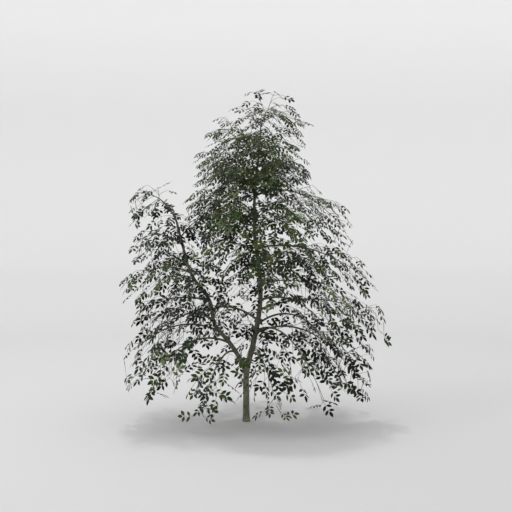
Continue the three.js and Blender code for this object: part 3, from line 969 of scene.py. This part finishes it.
def leafModel(leaflet, pairMarks, roll):
    marks = np.linspace(0, stalkSize["end"], stalkSize["bends"] + 1)
    radii = np.linspace(*stalkSize["ends"], len(marks)) * stalkSize["radius"]
    parts = [roundTube(np.array([stalkAt(t) for t in marks]), radii, stalkSize["sides"])]
    for t, hand in [(t, hand) for t in pairMarks for hand in (-1, 1)] + [(stalkSize["end"], 0)]:
        angle = hand * leafletSize["angle"] * roll(*leafletSize["angleSpread"])
        dip = leafletSize["hang"] * roll(*leafletSize["hangSpread"]) + 2 * stalkSize["sag"] * t
        bank = hand * roll(*leafletSize["bank"]) if hand else roll(*leafletSize["endBank"])
        level = np.array([math.cos(angle), math.sin(angle), 0.0])
        forward = level * math.cos(dip) - up * math.sin(dip)
        across = turned(unit(np.cross(up, forward)), forward, bank)
        rise = np.cross(forward, across)
        size = (leafletSize["pairSize"] if hand else 1.0) * roll(*leafletSize["sizeSpread"])
        places = leaflet[0] @ np.array([forward, across, rise]) * size + stalkAt(t)
        parts.append((places, leaflet[1], leaflet[2]))
    starts = np.cumsum([0] + [len(part[0]) for part in parts[:-1]])
    places = np.concatenate([part[0] for part in parts])
    corners = np.concatenate([part[1] + start for part, start in zip(parts, starts)])
    return places, corners, np.concatenate([part[2] for part in parts])


leafRoll = makeDice(leafSeed)
leaflet = leafletModel()
leafModels = [leafModel(leaflet, marks, leafRoll) for marks, count in leafKinds for _ in range(count)]

# The greens as seen, and the share of the sprays that takes each: in the crown's upper part, on
# the left limb and on the branches low on the trunk. These shares paint shade: the left limb and most of
# all the low branches take the dark 'shade' green and the dull one far more often than the upper crown.
leafGreens = {
    "deep": {"colour": (25, 38, 10), "shares": (0.32, 0.06, 0.07)},
    "shade": {"colour": (15, 20, 11), "shares": (0.05, 0.34, 0.6)},
    "mid": {"colour": (44, 62, 19), "shares": (0.31, 0.07, 0.05)},
    "dull": {"colour": (45, 55, 36), "shares": (0.06, 0.26, 0.16)},
    "olive": {"colour": (59, 67, 28), "shares": (0.16, 0.05, 0.03)},
    "blue": {"colour": (33, 50, 34), "shares": (0.03, 0.11, 0.05)},
    "sage": {"colour": (84, 98, 62), "shares": (0.07, 0.11, 0.04)},
}
upperFrom = 2050  # the branches that leave the trunk above this make the crown's upper part
massTintShare = 0.45  # the share of a mass's sprays that take its own favourite green
underOne = 0.9999  # keeps a draw from naming one green too many
underCount = 0.001  # and one kind of leaf too many


def copies(model, leaves, chosen):
    places, corners, sizes = model
    along, side = leaves["along"][chosen], leaves["side"][chosen]
    rise = np.cross(along, side)
    rise[rise[:, 2] < 0] *= -1
    side = np.cross(rise, along)
    axes = np.stack([along, side, rise], 1) * leaves["length"][chosen][:, None, None]
    spread = np.einsum("pi,nij->npj", places, axes) + leaves["foot"][chosen][:, None, :]
    shift = np.arange(len(spread)) * len(places)
    corners = corners[None, :] + shift[:, None]
    return spread.reshape(-1, 3), corners.ravel(), np.tile(sizes, len(spread))


tintParts = {tint: [] for tint in leafGreens}
for mass, growth in zip(masses, grown):
    branch, leaves = mass["branch"], growth["leaves"]
    # Painted shade: where a mass grows picks its shares, so the lower leaves take the darker greens.
    upper = branch["on"] == "trunk" and (branch["from"] == "tip" or branch["from"] > upperFrom)
    place = 0 if upper else (1 if branch["on"] == "left_limb" else 2)
    tintEnds = np.cumsum([green["shares"][place] for green in leafGreens.values()])
    roll = makeDice(mass["seed"] + massSeeds["tints"])
    sprays = leaves["spray"].max() + 1
    sprayTints = np.array([np.searchsorted(tintEnds, roll(0, underOne)) for _ in range(sprays)])
    ownTint = np.searchsorted(tintEnds, roll(0, underOne))
    sprayTints[[roll(0, 1) < massTintShare for _ in range(sprays)]] = ownTint
    lastKind = len(leafModels) - underCount
    kinds = np.array([int(roll(0, lastKind)) for _ in range(len(leaves["foot"]))])
    tints = sprayTints[leaves["spray"]]
    for tintIndex, tint in enumerate(leafGreens):
        for kind, model in enumerate(leafModels):
            chosen = np.flatnonzero((tints == tintIndex) & (kinds == kind))
            if len(chosen):
                tintParts[tint].append(copies(model, leaves, chosen))
for tint, green in leafGreens.items():
    mesh = joinedMesh(tint + "Leaves", tintParts[tint])
    addPiece(tint + "Leaves", mesh, leafMaterial(tint + "ElderLeaf", green["colour"]), [])
    print("leaves:", tint, sum(len(p.vertices) - 2 for p in mesh.polygons), "triangles")

# A round studio: a pale floor that sweeps up into a wall all the way round, and grows paler
# outwards and upwards. This is painted light and shade: the floor round the tree, where the lamps light
# it most, is darker and the wall paler, in place of lighting them evenly.
studioSize = {
    "middle": 6.0,
    "flat": 20.0,
    "sweep": 5.0,
    "wall": 12.0,
    "sides": 96,
    "curveSteps": 12,
    "floorGrey": 0.5,
    "wallGrey": 0.86,
    "paleFrom": 8.0,
    "paleTo": 34.0,
    "heightShare": 3.0,  # how much more height counts than distance
    "roughness": 0.9,
    "specular": 0.1,
}


def studioFloor():
    bm = bmesh.new()
    flat, sweep = studioSize["flat"], studioSize["sweep"]
    marks = [(0.0, 0.0), (studioSize["middle"], 0.0), (flat, 0.0)]
    for i in range(1, studioSize["curveSteps"] + 1):
        angle = math.pi / 2 * i / studioSize["curveSteps"]
        marks.append((flat + sweep * math.sin(angle), sweep * (1 - math.cos(angle))))
    marks.append((flat + sweep, studioSize["wall"]))
    verts = [bm.verts.new((x, 0.0, z)) for x, z in marks]
    edges = [bm.edges.new(pair) for pair in zip(verts, verts[1:])]
    bmesh.ops.spin(
        bm,
        geom=verts + edges,
        cent=(0, 0, 0),
        axis=(0, 0, 1),
        angle=math.tau,
        steps=studioSize["sides"],
        use_merge=True,
    )
    bmesh.ops.remove_doubles(bm, verts=bm.verts, dist=mergeWithin["floor"])
    bmesh.ops.recalc_face_normals(bm, faces=bm.faces)
    mesh = bpy.data.meshes.new("studioFloor")
    bm.to_mesh(mesh)
    bm.free()
    mesh.shade_smooth()
    floor = bpy.data.objects.new("studioFloor", mesh)
    bpy.context.scene.collection.objects.link(floor)
    material = bpy.data.materials.new("paleFloor")
    material.use_nodes = True
    nodes, links = material.node_tree.nodes, material.node_tree.links
    shader = nodes["Principled BSDF"]
    coords = nodes.new("ShaderNodeTexCoord")
    raised = nodes.new("ShaderNodeVectorMath")
    raised.operation = "MULTIPLY"
    raised.inputs[1].default_value = (1.0, 1.0, studioSize["heightShare"])
    links.new(coords.outputs["Object"], raised.inputs[0])
    outward = nodes.new("ShaderNodeVectorMath")
    outward.operation = "LENGTH"
    links.new(raised.outputs["Vector"], outward.inputs[0])
    # Painted light and shade: the grey grows from floorGrey near the middle to wallGrey far out and up,
    # to even out the lamps' light.
    paintedLightGrade = nodes.new("ShaderNodeMapRange")
    paintedLightGrade.inputs["From Min"].default_value = studioSize["paleFrom"]
    paintedLightGrade.inputs["From Max"].default_value = studioSize["paleTo"]
    paintedLightGrade.inputs["To Min"].default_value = studioSize["floorGrey"]
    paintedLightGrade.inputs["To Max"].default_value = studioSize["wallGrey"]
    links.new(outward.outputs["Value"], paintedLightGrade.inputs["Value"])
    links.new(paintedLightGrade.outputs["Result"], shader.inputs["Base Color"])
    shader.inputs["Roughness"].default_value = studioSize["roughness"]
    shader.inputs["Specular IOR Level"].default_value = studioSize["specular"]
    mesh.materials.append(material)
    floor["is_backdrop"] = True


studioFloor()

# The light: one far lamp high up behind and a little to the left, a softer one from the left in
# front, and an even sky.
lampSize = {"place": (-2.0, 6.0, 20.0), "aim": (0.1, 0.0, 1.4), "size": 1.5, "power": 1400.0}
fillSize = {"place": (-8.0, -4.0, 8.0), "aim": (0.1, 0.0, 1.8), "size": 4.0, "power": 220.0}
skySize = {"grey": 1.0, "strength": 1.1}


def addLamp(name, place, aim, size, power):
    light = bpy.data.lights.new(name, "AREA")
    light.shape = "DISK"
    light.size = size
    light.energy = power
    lamp = bpy.data.objects.new(name, light)
    bpy.context.scene.collection.objects.link(lamp)
    lamp.location = place
    lamp.rotation_euler = (Vector(aim) - Vector(place)).to_track_quat("-Z", "Y").to_euler()


addLamp("mainLamp", **lampSize)
addLamp("fillLamp", **fillSize)
world = bpy.data.worlds.new("paleSky")
bpy.context.scene.world = world
world.use_nodes = True
background = world.node_tree.nodes["Background"]
background.inputs["Color"].default_value = (skySize["grey"],) * 3 + (1.0,)
background.inputs["Strength"].default_value = skySize["strength"]

# The camera stands 15 m in front, 3.2 m up, and looks down a little.
cameraSize = {
    "place": (0.12, -15.0, 3.2),
    "downwards": 4.4,
    "lens": 86.5,
    "sensor": 36.0,
    "farEnd": 200.0,
}
camera = bpy.data.objects.new("viewCamera", bpy.data.cameras.new("viewCamera"))
bpy.context.scene.collection.objects.link(camera)
camera.location = cameraSize["place"]
camera.rotation_euler = (math.radians(90 - cameraSize["downwards"]), 0.0, 0.0)
camera.data.lens = cameraSize["lens"]
camera.data.sensor_width = cameraSize["sensor"]
camera.data.clip_end = cameraSize["farEnd"]
bpy.context.scene.camera = camera
bpy.context.scene.view_settings.view_transform = "Standard"
print("stage: floor, light and camera")

low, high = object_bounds()
